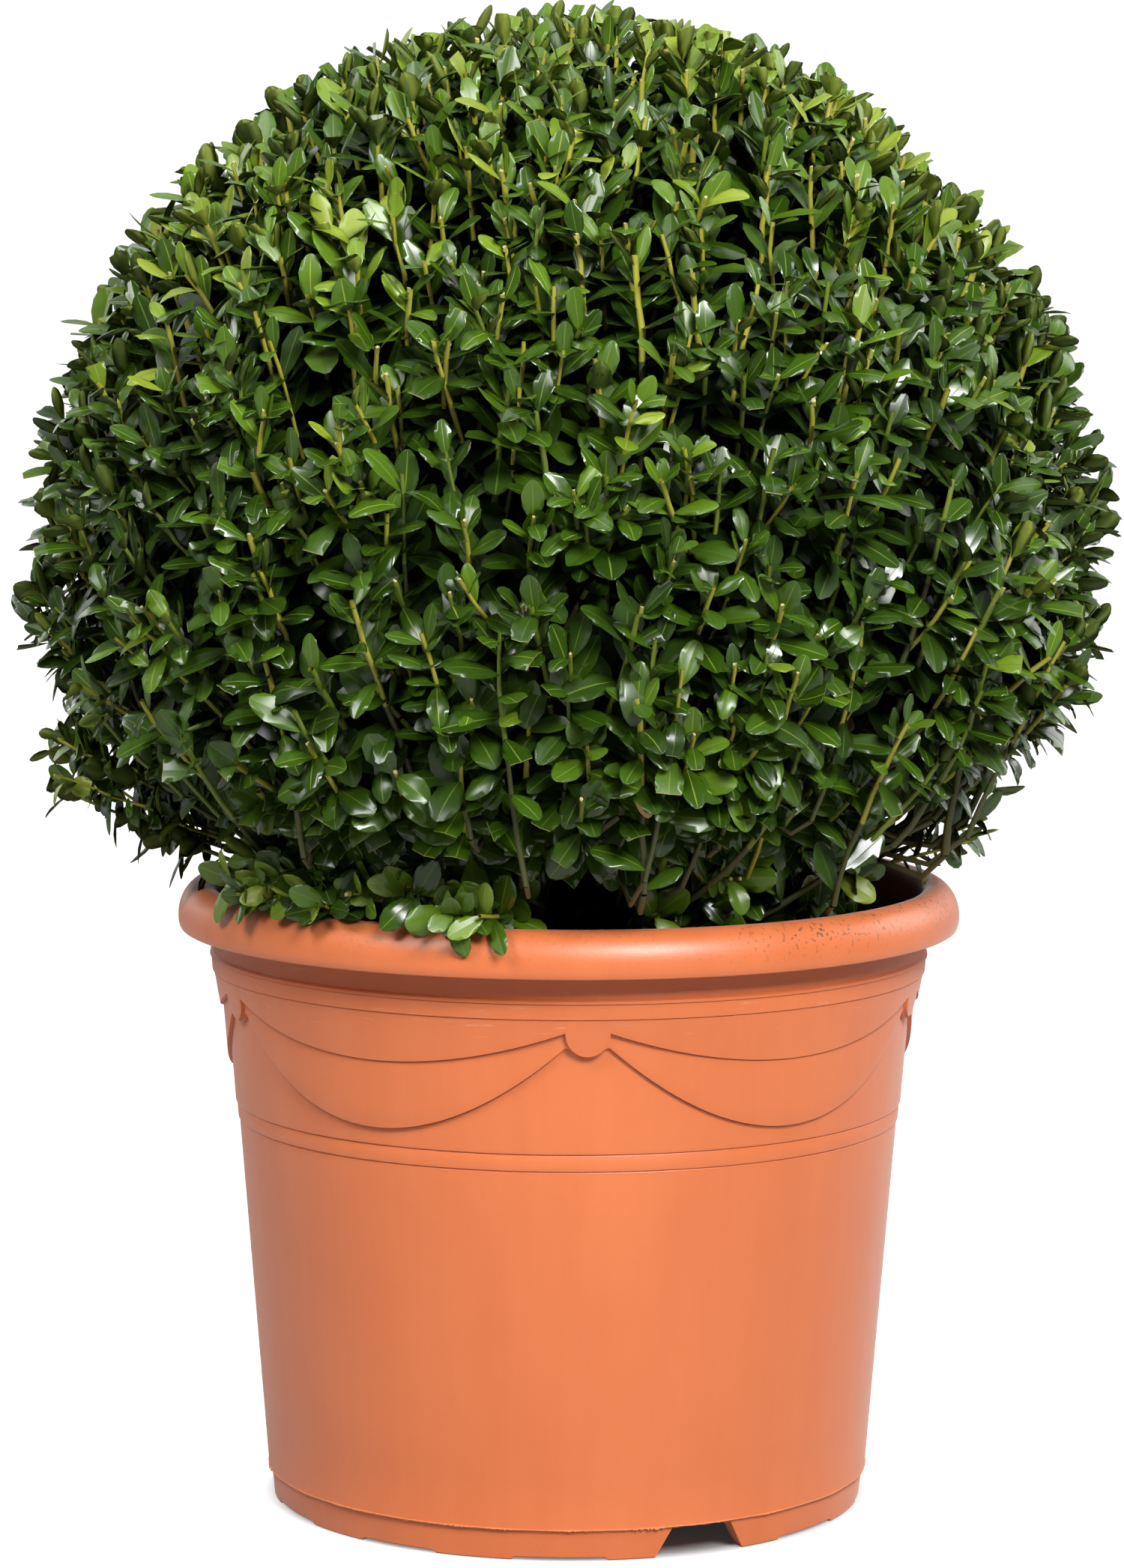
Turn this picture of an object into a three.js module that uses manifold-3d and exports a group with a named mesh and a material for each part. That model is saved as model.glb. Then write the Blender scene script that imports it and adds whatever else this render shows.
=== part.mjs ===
// A clipped box ball growing in a round plastic nursery pot.
//
// Frame: millimetres, +Z up, origin on the ground under the middle of the pot.
// The front of the plant faces -Y, and azimuths are degrees to the right of the front.

import * as THREE from "three";
import { mergeVertices } from "three/addons/utils/BufferGeometryUtils.js";
import Module from "manifold-3d";

const wasm = await Module();
wasm.setup();

// ---- driving dimensions ---------------------------------------------------

const GAP = 0.3; // clearance between touching pieces

const POT = {
  height: 318.6,
  rimRadius: 200,
  rimInner: 179.4,
  lipBottom: 295.7,
  lipThickness: 2.8,
  bodyFoot: 16.2, // height at which the wall steps out over the foot
  bodyFootRadius: 154.4,
  taper: 0.0805, // growth of the wall's radius per millimetre of height
  wall: 3.2,
  floorUnder: 14.5,
  floorTop: 18.5,
  footRadius: 151.5,
  footInner: 143,
  padHeight: 1.3,
};

const LINES = [197.4, 206]; // heights of the two fine steps round the wall
const LINE_STEP = 0.55;

const SWAG = {
  count: 5,
  firstAzimuth: 3,
  knobHalf: 3.5, // half the angle that a knob takes, degrees
  shoulder: 267, // height at which the upper curve leaves a knob
  upperDip: 18,
  knobDrop: 11.8,
  lowerStart: 259.3,
  lowerDip: 44.3,
  thickness: 2.2,
};

const LEDGE = { low: 274, high: 282.4, radius: 182.7 };

const NOTCH = { count: 3, firstAzimuth: 26, topHalf: 16, bottomHalf: 26, height: 15.2 };

const SOIL = { middle: 297, edge: 292 };

const STEM = { x: -10, y: 4, foot: 17, waist: 11.5, top: 9.5 };

const BOUGH = {
  azimuths: [-158, -112, -66, -28, 18, 62, 104, 150],
  attach: 305,
  stagger: 13, // every second bough leaves the stem this much higher
  elbowRadius: 58,
  elbowHeight: 324,
  endRadius: [112, 128],
  thick: 6.2,
  thin: 3.8,
};

const BALL = {
  radius: 277,
  centre: 485,
  unevenness: 2.6,
  underside: 341,
  undersideTilt: 15, // the underside is this much higher on the open side
  openAzimuth: 80,
  tuckRadius: 190, // the flank tucks in towards this radius at tuckHeight
  tuckHeight: 319,
  tuckSlope: 1.6,
};

// Low leafy pads: azimuth, half the angle, radius, half the width, height, half the thickness,
// and how much the outer edge lifts over the middle.
const LOW_MASSES = {
  front_left_skirt: [-32, 27, 176, 26, 324, 4.2, 0],
  front_right_skirt: [36, 25, 150, 25, 331, 14, 0],
  back_skirt: [180, 44, 176, 26, 324, 4.2, 0],
  left_spray: [-92, 16, 240, 34, 341, 4.2, 20],
  right_spray: [82, 15, 185, 27, 337, 3.6, 13],
};

// ---- materials ------------------------------------------------------------

const MATERIAL = {
  pot: { color: 0xde6f3d, roughness: 0.55, metalness: 0 },
  soil: { color: 0x2b211b, roughness: 1, metalness: 0 },
  bark: { color: 0x6b5134, roughness: 0.9, metalness: 0 },
  leaf: { color: 0x2e5a1e, roughness: 0.45, metalness: 0 },
};

// ---- helpers --------------------------------------------------------------

const radians = THREE.MathUtils.degToRad;

// A point given by its azimuth in degrees, its distance from the axis and its height.
function polar(azimuth, radius, height) {
  const a = radians(azimuth);
  return new THREE.Vector3(radius * Math.sin(a), -radius * Math.cos(a), height);
}

// Leaves only merged positions on a geometry, so that its surface is closed.
function closed(geometry) {
  const bare = geometry.clone();
  bare.deleteAttribute("normal");
  bare.deleteAttribute("uv");
  return mergeVertices(bare, 1e-4);
}

// Moves every vertex of a geometry by a function from one point to another.
function mapped(geometry, place) {
  const made = closed(geometry);
  const position = made.getAttribute("position");
  const point = new THREE.Vector3();
  for (let i = 0; i < position.count; i++) {
    point.fromBufferAttribute(position, i);
    const moved = place(point);
    position.setXYZ(i, moved.x, moved.y, moved.z);
  }
  return made;
}

function toSolid(geometry) {
  const made = closed(geometry);
  return new wasm.Manifold(
    new wasm.Mesh({
      numProp: 3,
      vertProperties: new Float32Array(made.getAttribute("position").array),
      triVerts: new Uint32Array(made.index.array),
    }),
  );
}

function toGeometry(solid) {
  const mesh = solid.getMesh();
  return new THREE.BufferGeometry()
    .setAttribute("position", new THREE.BufferAttribute(mesh.vertProperties, 3))
    .setIndex(new THREE.BufferAttribute(mesh.triVerts, 1));
}

// The largest of the separate bodies that a cut leaves.
function largestBody(solid) {
  return solid.decompose().reduce((a, b) => (b.volume() > a.volume() ? b : a));
}

// ---- pot ------------------------------------------------------------------

// Degrees from the nearest knob, from 0 to half of one swag.
function fromKnob(azimuth) {
  const pitch = 360 / SWAG.count;
  const turn = (((azimuth - SWAG.firstAzimuth) % pitch) + pitch) % pitch;
  return Math.min(turn, pitch - turn);
}

// How far a hanging curve has dropped, from 0 at a knob's side to 1 in mid-swag.
function sagAt(azimuth) {
  const span = 180 / SWAG.count - SWAG.knobHalf;
  const along = Math.max(0, fromKnob(azimuth) - SWAG.knobHalf) / span;
  return 1 - (1 - along) ** 2;
}

function upperEdge(azimuth) {
  const across = fromKnob(azimuth) / SWAG.knobHalf;
  if (across < 1) return SWAG.shoulder - SWAG.knobDrop * Math.sqrt(1 - across ** 2);
  return SWAG.shoulder - SWAG.upperDip * sagAt(azimuth);
}

function lowerEdge(azimuth) {
  const hanging = SWAG.lowerStart - SWAG.lowerDip * sagAt(azimuth);
  return Math.min(hanging, upperEdge(azimuth) - 1.2);
}

// Radius of the plain wall, with the two fine steps.
function wallRadius(height) {
  const steps = LINES.filter((line) => height > line).length;
  return POT.bodyFootRadius + POT.taper * (height - POT.bodyFoot) + steps * LINE_STEP;
}

function topBandRadius(height) {
  return LEDGE.radius - 0.8 - 0.17 * (LEDGE.low - height);
}

// The foot stands on low pads: four in each third, two of them beside the notch.
function footHeight(azimuth) {
  const third = 360 / NOTCH.count;
  const turn = (((azimuth - NOTCH.firstAzimuth) % third) + third) % third;
  const near = Math.min(turn, third - turn);
  const onPad = near < 18.5 || (near > 36 && near < 52);
  return onPad ? 0 : POT.padHeight;
}

// The section of the pot at one azimuth, from under the floor out, up and back down inside.
function potSection(azimuth) {
  const up = upperEdge(azimuth);
  const low = lowerEdge(azimuth);
  const foot = footHeight(azimuth);
  const rise = 0.4; // height over which a step in the wall happens
  const wall = (height) => [wallRadius(height), height];
  const bottom = POT.bodyFoot;
  const lip = POT.lipBottom;
  const rim = POT.rimRadius;
  return [
    [POT.footInner, POT.floorUnder],
    [POT.footInner + 2, foot],
    [POT.footRadius, foot],
    [POT.footRadius + 1.6, bottom - 0.8],
    [POT.bodyFootRadius, bottom],
    wall(LINES[0] - rise),
    wall(LINES[0] + rise),
    wall(LINES[1] - rise),
    wall(LINES[1] + rise),
    wall(low - rise),
    [wallRadius(low) + SWAG.thickness, low],
    [wallRadius(up - rise) + SWAG.thickness, up - rise],
    [topBandRadius(up), up],
    [topBandRadius(LEDGE.low), LEDGE.low - rise],
    [LEDGE.radius, LEDGE.low + rise],
    [LEDGE.radius + 0.7, LEDGE.high],
    [LEDGE.radius - 0.4, LEDGE.high + 1.4],
    [LEDGE.radius - 0.4, POT.height - 7.6],
    [rim - POT.lipThickness - 1.8, POT.height - 7.6],
    [rim - POT.lipThickness - 1.2, lip + 0.5],
    [rim - 1.3, lip],
    [rim, lip + 4.6],
    [rim - 0.5, lip + 10.4],
    [rim - 2.2, lip + 16],
    [rim - 5.6, POT.height - 2],
    [rim - 10.4, POT.height],
    [POT.rimInner + 4, POT.height - 1.6],
    [POT.rimInner, POT.height - 8],
    [POT.rimInner - 0.2, LEDGE.high],
    [wallRadius(LINES[0]) - POT.wall, LINES[0]],
    [POT.bodyFootRadius - POT.wall, POT.floorTop],
  ];
}

// Azimuths of the grid that the pot is drawn on, close together at the knobs.
function potAzimuths() {
  const half = [0, 1.9, 3.4, 3.8, 9, 16, 23, 30];
  const pitch = 360 / SWAG.count;
  const mirrored = half.slice(1).map((offset) => pitch - offset);
  const one = [...half, pitch / 2, ...mirrored.reverse()];
  const all = [];
  for (let i = 0; i < SWAG.count; i++) {
    for (const offset of one) all.push(SWAG.firstAzimuth + i * pitch + offset);
  }
  return all;
}

function potShell() {
  const azimuths = potAzimuths();
  const columns = azimuths.length;
  const rows = potSection(0).length;
  const positions = [];
  const index = [];
  azimuths.forEach((azimuth) => {
    potSection(azimuth).forEach(([radius, height]) => {
      positions.push(...polar(azimuth, radius, height).toArray());
    });
  });
  const under = positions.length / 3;
  positions.push(0, 0, POT.floorUnder, 0, 0, POT.floorTop);
  for (let c = 0; c < columns; c++) {
    const here = c * rows;
    const next = ((c + 1) % columns) * rows;
    index.push(under, next, here);
    for (let r = 0; r < rows - 1; r++) {
      index.push(here + r, next + r, next + r + 1);
      index.push(here + r, next + r + 1, here + r + 1);
    }
    index.push(here + rows - 1, next + rows - 1, under + 1);
  }
  return new THREE.BufferGeometry()
    .setAttribute("position", new THREE.Float32BufferAttribute(positions, 3))
    .setIndex(index);
}

// A wedge that cuts one drainage notch, wider at the ground, through the foot.
function notchCutter(azimuth) {
  const outline = new THREE.Shape([
    new THREE.Vector2(-NOTCH.bottomHalf, -2),
    new THREE.Vector2(NOTCH.bottomHalf, -2),
    new THREE.Vector2(NOTCH.topHalf, NOTCH.height),
    new THREE.Vector2(-NOTCH.topHalf, NOTCH.height),
  ]);
  const depth = 20;
  const cutter = new THREE.ExtrudeGeometry(outline, { depth, bevelEnabled: false });
  cutter.rotateX(Math.PI / 2);
  cutter.translate(0, 2 - POT.footInner, 0);
  cutter.rotateZ(radians(azimuth));
  return toSolid(cutter);
}

function makePot() {
  let solid = toSolid(potShell());
  for (let i = 0; i < NOTCH.count; i++) {
    solid = solid.subtract(notchCutter(NOTCH.firstAzimuth + (i * 360) / NOTCH.count));
  }
  return toGeometry(solid);
}

// ---- soil -----------------------------------------------------------------

function soilHeight(radius) {
  const share = radius / (POT.rimInner - 2);
  return SOIL.middle - (SOIL.middle - SOIL.edge) * share ** 2;
}

// A body turned about the Z axis from [radius, height] pairs that start and end on the axis.
function turned(profile, segments) {
  const points = profile.map(([radius, height]) => new THREE.Vector2(radius, height));
  return new THREE.LatheGeometry(points, segments).rotateX(Math.PI / 2);
}

function makeSoil() {
  const room = 1.2; // keeps the faceted soil clear of the faceted wall
  const profile = [
    [0, POT.floorTop + GAP],
    [POT.bodyFootRadius - POT.wall - room, POT.floorTop + GAP],
    [wallRadius(LINES[0]) - POT.wall - room, LINES[0]],
    [POT.rimInner - room - 0.8, LEDGE.high - 2],
    [POT.rimInner - room - 0.8, soilHeight(POT.rimInner)],
    [110, soilHeight(110)],
    [50, soilHeight(50)],
    [0, SOIL.middle],
  ];
  return turned(profile, 48);
}

// ---- foliage --------------------------------------------------------------

// Gentle unevenness of the clipped surface, in millimetres.
function unevenness(azimuth, lift) {
  const a = radians(azimuth);
  return (
    Math.sin(3 * a + 2 * lift) * Math.cos(4 * lift) +
    0.8 * Math.sin(5 * a - 3 * lift + 1) +
    0.6 * Math.cos(7 * a + 6 * lift)
  );
}

function undersideHeight(azimuth) {
  return BALL.underside + BALL.undersideTilt * Math.cos(radians(azimuth - BALL.openAzimuth));
}

// The ball: a sphere, tucked in low on its flank and cut off underneath.
function makeBall(grow, across, down) {
  const sphere = new THREE.SphereGeometry(1, across, down).rotateX(Math.PI / 2);
  return mapped(sphere, (direction) => {
    const azimuth = THREE.MathUtils.radToDeg(Math.atan2(direction.x, -direction.y));
    const outward = Math.hypot(direction.x, direction.y);
    const waves = outward * unevenness(azimuth, Math.asin(direction.z));
    let reach = BALL.radius + BALL.unevenness * waves;
    const drop = BALL.centre - BALL.tuckHeight;
    const flank = outward - BALL.tuckSlope * direction.z;
    if (flank > 0) {
      reach = Math.min(reach, (BALL.tuckRadius + BALL.tuckSlope * drop) / flank);
    }
    if (direction.z < 0) {
      reach = Math.min(reach, (undersideHeight(azimuth) - BALL.centre) / direction.z);
    }
    return direction
      .clone()
      .multiplyScalar(reach + grow)
      .add(new THREE.Vector3(0, 0, BALL.centre));
  });
}

// A thin leafy pad bent round the axis, thickest in the middle and uneven at its rim.
function makeLowMass([azimuth, halfAngle, radius, halfWidth, height, halfThickness, lift]) {
  const lozenge = new THREE.SphereGeometry(1, 16, 8).rotateX(Math.PI / 2);
  return mapped(lozenge, (point) => {
    const ragged = 1 + 0.08 * Math.sin(5 * Math.atan2(point.y, point.x));
    return polar(
      azimuth + halfAngle * point.x,
      radius - halfWidth * point.y * ragged,
      height + halfThickness * point.z - lift * point.y,
    );
  });
}

// ---- stems ----------------------------------------------------------------

// A tapering limb: a turned taper whose axis is bent along a curve.
function makeLimb(points, radiusAt, sides, steps) {
  const curve = new THREE.CatmullRomCurve3(points);
  const profile = [new THREE.Vector2(0, 0)];
  for (let i = 0; i <= steps; i++) {
    profile.push(new THREE.Vector2(radiusAt(i / steps), i / steps));
  }
  profile.push(new THREE.Vector2(0, 1));
  const taper = new THREE.LatheGeometry(profile, sides);
  const frames = curve.computeFrenetFrames(steps);
  return mapped(taper, (point) => {
    const step = Math.round(point.y * steps);
    return curve
      .getPointAt(point.y)
      .addScaledVector(frames.normals[step], point.x)
      .addScaledVector(frames.binormals[step], -point.z);
  });
}

// The short stem stands on the soil on a flat cut and flares at its foot.
function stemSolid(grow) {
  const foot = SOIL.middle + GAP;
  const points = [
    new THREE.Vector3(STEM.x, STEM.y, foot),
    new THREE.Vector3(STEM.x + 1, STEM.y, foot + 30),
    new THREE.Vector3(STEM.x + 4, STEM.y - 3, BALL.underside + 25),
  ];
  const flare = (along) => (STEM.foot - STEM.waist) * Math.exp(-along * 11);
  const taper = (along) => STEM.waist + (STEM.top - STEM.waist) * along;
  const limb = makeLimb(points, (along) => taper(along) + flare(along) + grow, 14, 10);
  const level = foot - grow;
  return toSolid(mapped(limb, (point) => point.clone().setZ(Math.max(point.z, level))));
}

function makeBough(number, ball, stem) {
  const azimuth = BOUGH.azimuths[number];
  const second = number % 2;
  const points = [
    new THREE.Vector3(STEM.x, STEM.y, BOUGH.attach + BOUGH.stagger * second),
    polar(azimuth, BOUGH.elbowRadius, BOUGH.elbowHeight + 4 * second),
    polar(azimuth + 6, BOUGH.endRadius[second], BALL.underside + 34),
  ];
  const taper = (along) => BOUGH.thick + (BOUGH.thin - BOUGH.thick) * along;
  const bough = toSolid(makeLimb(points, taper, 8, 9));
  return largestBody(bough.subtract(ball).subtract(stem));
}

// ---- assembly -------------------------------------------------------------

const plant = new THREE.Group();

function addPiece(parent, name, geometry, look) {
  const mesh = new THREE.Mesh(geometry, new THREE.MeshStandardMaterial(MATERIAL[look]));
  mesh.name = name;
  parent.add(mesh);
}

const potted = new THREE.Group();
addPiece(potted, "pot", makePot(), "pot");
addPiece(potted, "soil", makeSoil(), "soil");

const wood = new THREE.Group();
const ballRoom = toSolid(makeBall(2 * GAP, 36, 20));
const stemRoom = stemSolid(2 * GAP);
addPiece(wood, "main_stem", toGeometry(largestBody(stemSolid(0).subtract(ballRoom))), "bark");
BOUGH.azimuths.forEach((_, number) => {
  const bough = makeBough(number, ballRoom, stemRoom);
  addPiece(wood, "bough_" + (number + 1), toGeometry(bough), "bark");
});

const crown = new THREE.Group();
addPiece(crown, "foliage_ball", makeBall(0, 36, 20), "leaf");
for (const [name, sizes] of Object.entries(LOW_MASSES)) {
  addPiece(crown, name, makeLowMass(sizes), "leaf");
}

plant.add(potted, wood, crown);

export default plant;
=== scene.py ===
"""Box topiary ball in its terracotta-coloured pot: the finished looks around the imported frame.

Lengths are millimetres until they reach a mesh, where MM turns them into metres. The studio and
the node trees are in metres. The front of the plant faces -Y, and azimuths are degrees to the
right of the front.
"""

import math

import bmesh
import bpy
import numpy as np
from mathutils import Matrix, Vector


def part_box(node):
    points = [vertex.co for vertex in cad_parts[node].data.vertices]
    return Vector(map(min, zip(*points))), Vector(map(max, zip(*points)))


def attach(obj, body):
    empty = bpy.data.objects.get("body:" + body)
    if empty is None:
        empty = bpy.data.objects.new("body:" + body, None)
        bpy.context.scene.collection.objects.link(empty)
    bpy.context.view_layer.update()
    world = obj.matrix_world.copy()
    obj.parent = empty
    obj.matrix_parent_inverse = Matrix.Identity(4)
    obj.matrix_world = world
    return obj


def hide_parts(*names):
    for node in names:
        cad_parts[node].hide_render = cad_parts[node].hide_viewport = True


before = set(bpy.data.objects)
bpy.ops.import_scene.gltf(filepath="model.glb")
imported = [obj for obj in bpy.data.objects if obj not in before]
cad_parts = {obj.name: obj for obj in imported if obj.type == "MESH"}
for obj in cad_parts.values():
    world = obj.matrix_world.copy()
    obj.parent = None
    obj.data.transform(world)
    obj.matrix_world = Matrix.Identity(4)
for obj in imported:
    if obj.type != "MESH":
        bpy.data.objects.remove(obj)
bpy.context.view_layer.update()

MM = 0.001
UP = np.array([0.0, 0.0, 1.0])


# ---- sizes that come from the frame ----


def node_sizes(node):
    """The heights of a node's foot and top, and half its width."""
    low, high = np.array(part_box(node)) / MM
    return low[2], high[2], (high[0] - low[0]) / 2


_, POT_TOP, RIM_RADIUS = node_sizes("pot")
_, SOIL_TOP, _ = node_sizes("soil")
STEM_FOOT, _, _ = node_sizes("main_stem")
_, BALL_TOP, BALL_RADIUS = node_sizes("foliage_ball")
BALL_CENTRE = np.array([0.0, 0.0, BALL_TOP - BALL_RADIUS])


# ---- mesh helpers ----


def make_object(name, vertices, faces, materials, slots=None, smooth=True):
    """A mesh object from vertices in millimetres and an array of faces of one size."""
    mesh = bpy.data.meshes.new(name)
    vertices = np.asarray(vertices, dtype=np.float32).reshape(-1, 3) * MM
    faces = np.asarray(faces, dtype=np.int32)
    mesh.vertices.add(len(vertices))
    mesh.vertices.foreach_set("co", vertices.ravel())
    mesh.loops.add(faces.size)
    mesh.loops.foreach_set("vertex_index", faces.ravel())
    mesh.polygons.add(len(faces))
    starts = np.arange(len(faces), dtype=np.int32) * faces.shape[1]
    mesh.polygons.foreach_set("loop_start", starts)
    for material in materials:
        mesh.materials.append(material)
    if slots is not None:
        mesh.polygons.foreach_set("material_index", np.asarray(slots, dtype=np.int32).ravel())
    mesh.polygons.foreach_set("use_smooth", np.full(len(faces), smooth))
    mesh.update(calc_edges=True)
    made = bpy.data.objects.new(name, mesh)
    bpy.context.scene.collection.objects.link(made)
    return made


def finish_piece(piece, slot, *nodes):
    """Rides a piece on the plant's one body and hides the nodes it stands for. The slot is not used."""
    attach(piece, "root")
    if nodes:
        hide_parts(*nodes)


def make_piece(name, vertices, faces, materials, slot, *nodes, **options):
    """Makes a mesh object and finishes it as a piece of the plant."""
    finish_piece(make_object(name, vertices, faces, materials, **options), slot, *nodes)


def grid_faces(rows, columns):
    """Quads of a grid that closes on itself, whose vertex number is column * rows + row."""
    column = np.arange(columns)[:, None]
    row = np.arange(rows - 1)
    here = column * rows + row
    there = ((column + 1) % columns) * rows + row
    return np.stack([here, there, there + 1, here + 1], axis=-1).reshape(-1, 4)


def repeated(faces, stride, count):
    """The same faces for each of many equal runs of vertices."""
    faces = np.asarray(faces)
    return (np.arange(count)[:, None, None] * stride + faces).reshape(-1, faces.shape[1])


def dot(one, two):
    return np.sum(one * two, axis=-1)


def unit(vectors):
    """Vectors scaled to a length of one."""
    return vectors / np.linalg.norm(vectors, axis=-1, keepdims=True)


def across(vectors, axis):
    """The part of each vector that is square to its unit axis, made a unit vector."""
    return unit(vectors - axis * dot(vectors, axis)[..., None])


def polar(azimuth, radius, height):
    """Points from azimuths in degrees, distances from the axis and heights."""
    a = np.radians(azimuth)
    parts = np.broadcast_arrays(radius * np.sin(a), -radius * np.cos(a), height)
    return np.stack(parts, axis=-1).astype(float)


def ring_points(azimuth, rows):
    """Points of a round grid from rows of radii and heights, each one number or one per azimuth."""
    radii, heights = (np.stack([part + 0 * azimuth for part in parts], axis=1) for parts in zip(*rows))
    return polar(azimuth[:, None], radii, heights)


def smoothstep(low, high, value):
    share = np.clip((value - low) / (high - low), 0, 1)
    return share * share * (3 - 2 * share)


# ---- material helpers ----


def new_material(name, colour, roughness, **sockets):
    """A Principled material with its plain values on the shader's own sockets."""
    material = bpy.data.materials.new(name)
    material.use_nodes = True
    shader = material.node_tree.nodes["Principled BSDF"]
    shader.inputs["Base Color"].default_value = (*colour, 1)
    shader.inputs["Roughness"].default_value = roughness
    for socket, value in sockets.items():
        shader.inputs[socket.replace("_", " ")].default_value = value
    material.diffuse_color = (*colour, 1)
    return material


class Nodes:
    """Short calls for building the node tree of a material or of the world."""

    def __init__(self, owner, shader="Principled BSDF", coordinates="Object"):
        self.tree = owner.node_tree
        self.shader = self.tree.nodes[shader]
        self.point = self.add("ShaderNodeTexCoord").outputs[coordinates]

    def feed(self, socket, value):
        """Gives a socket another node's output, or a plain value."""
        if isinstance(value, bpy.types.NodeSocket):
            self.tree.links.new(value, socket)
        else:
            socket.default_value = value

    def output(self, socket, value):
        self.feed(self.shader.inputs[socket], value)

    def add(self, kind, *first, **named):
        """A new node, with its first inputs or its named ones fed."""
        node = self.tree.nodes.new(kind)
        for socket, value in zip(node.inputs, first):
            self.feed(socket, value)
        for name, value in named.items():
            self.feed(node.inputs[name], value)
        return node

    def noise(self, scale, detail=2.0, roughness=0.5):
        """Noise of one scale, or of one for each axis."""
        point = self.point
        if isinstance(scale, tuple):
            point = self.add("ShaderNodeMapping", Vector=point, Scale=scale).outputs["Vector"]
            scale = 1
        inputs = {"Vector": point, "Scale": scale, "Detail": detail, "Roughness": roughness}
        return self.add("ShaderNodeTexNoise", **inputs).outputs["Fac"]

    def span(self, value, low, high, to_low=0.0, to_high=1.0):
        """Maps a value from one range to another, held inside the second."""
        return self.add("ShaderNodeMapRange", value, low, high, to_low, to_high).outputs["Result"]

    def math(self, operation, one, two):
        node = self.add("ShaderNodeMath", one, two)
        node.operation = operation
        return node.outputs[0]

    def product(self, *factors):
        result = factors[0]
        for factor in factors[1:]:
            result = self.math("MULTIPLY", result, factor)
        return result

    def blend(self, one, share, two):
        """A share of one value and the rest of another."""
        return self.math("ADD", self.product(one, share), self.product(two, 1 - share))

    def mix(self, share, one, two):
        """Mixes two colours, each a socket or a tuple."""
        node = self.add("ShaderNodeMix", share)
        node.data_type = "RGBA"
        for socket, value in zip(node.inputs[6:8], (one, two)):
            self.feed(socket, (*value, 1) if isinstance(value, tuple) else value)
        return node.outputs[2]

    def place(self, axis):
        """Where the shaded point lies along an axis."""
        return self.add("ShaderNodeSeparateXYZ", self.point).outputs[axis]

    def seen(self):
        """1 where the camera sees the point itself, and 0 elsewhere."""
        return self.add("ShaderNodeLightPath").outputs["Is Camera Ray"]

    def bump(self, height, depth_mm, strength):
        node = self.add("ShaderNodeBump", Height=height, Distance=depth_mm * MM, Strength=strength)
        self.output("Normal", node.outputs["Normal"])


# ---- camera, light and floor ----

CAMERA_PLACE = (0, -2.766, 0.683)
CAMERA_LENS = 124.82
CAMERA_TURN = 0.077
CAMERA_DIP = 6.507
CAMERA_ROLL = 0.197
LIGHT_AIM = (0, 0, 0.42)
LIGHTS = {
    # place, width and height, and power in watts
    "key": ((0.95, -2.1, 1.9), (1.1, 0.85), 88),
    "fill": ((-1.4, -1.4, 2.15), (1.1, 1.1), 40),
    "top": ((0.0, -0.1, 2.6), (1.2, 1.2), 7),
    "back_right": ((2.1, 1.0, 1.5), (1.2, 1.6), 22),
    "back_left": ((-1.7, 2.1, 1.3), (1.2, 1.6), 9),
}
BACKDROP_SPAN = (0.05, 0.6)
BACKDROP_LEVELS = (0.05, 0.6)
BACKDROP_SEEN = 1.05
FLOOR_HALF = 9000.0
FLOOR_HEIGHT = -0.2
# the camera-only glow fades out towards the pot's foot, leaving a painted shadow there
SHADOW_TO_GLOW_RADII = (0.142, 0.160)
SHADOW_TO_GLOW_LEVELS = (0.02, 1.0)


def turned(degrees, axis):
    return Matrix.Rotation(math.radians(degrees), 4, axis)


def make_camera():
    """Nearly level long-lens view from the front, at the height of the crown's shoulder."""
    data = bpy.data.cameras.new("camera")
    data.sensor_width = 36
    data.lens = CAMERA_LENS
    camera = bpy.data.objects.new("camera", data)
    aimed = Matrix.Translation(CAMERA_PLACE) @ turned(CAMERA_TURN, "Z") @ turned(90 - CAMERA_DIP, "X")
    camera.matrix_world = aimed @ turned(CAMERA_ROLL, "Z")
    bpy.context.scene.collection.objects.link(camera)
    bpy.context.scene.camera = camera


def make_light(name, place, size, power):
    data = bpy.data.lights.new(name, "AREA")
    data.shape = "RECTANGLE"
    data.size, data.size_y = size
    data.energy = power
    light = bpy.data.objects.new(name, data)
    light.location = place
    direction = Vector(LIGHT_AIM) - Vector(place)
    light.rotation_euler = direction.to_track_quat("-Z", "Y").to_euler()
    light.visible_camera = False
    bpy.context.scene.collection.objects.link(light)


def make_world():
    """A backdrop that is white to the eye, bright behind the plant and dim behind the camera."""
    world = bpy.data.worlds.new("studio")
    bpy.context.scene.world = world
    world.use_nodes = True
    nodes = Nodes(world, "Background", "Generated")
    backdrop = nodes.span(nodes.place("Y"), *BACKDROP_SPAN, *BACKDROP_LEVELS)
    nodes.output("Color", (1, 1, 1, 1))
    nodes.output("Strength", nodes.span(nodes.seen(), 0, 1, backdrop, BACKDROP_SEEN))


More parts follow.
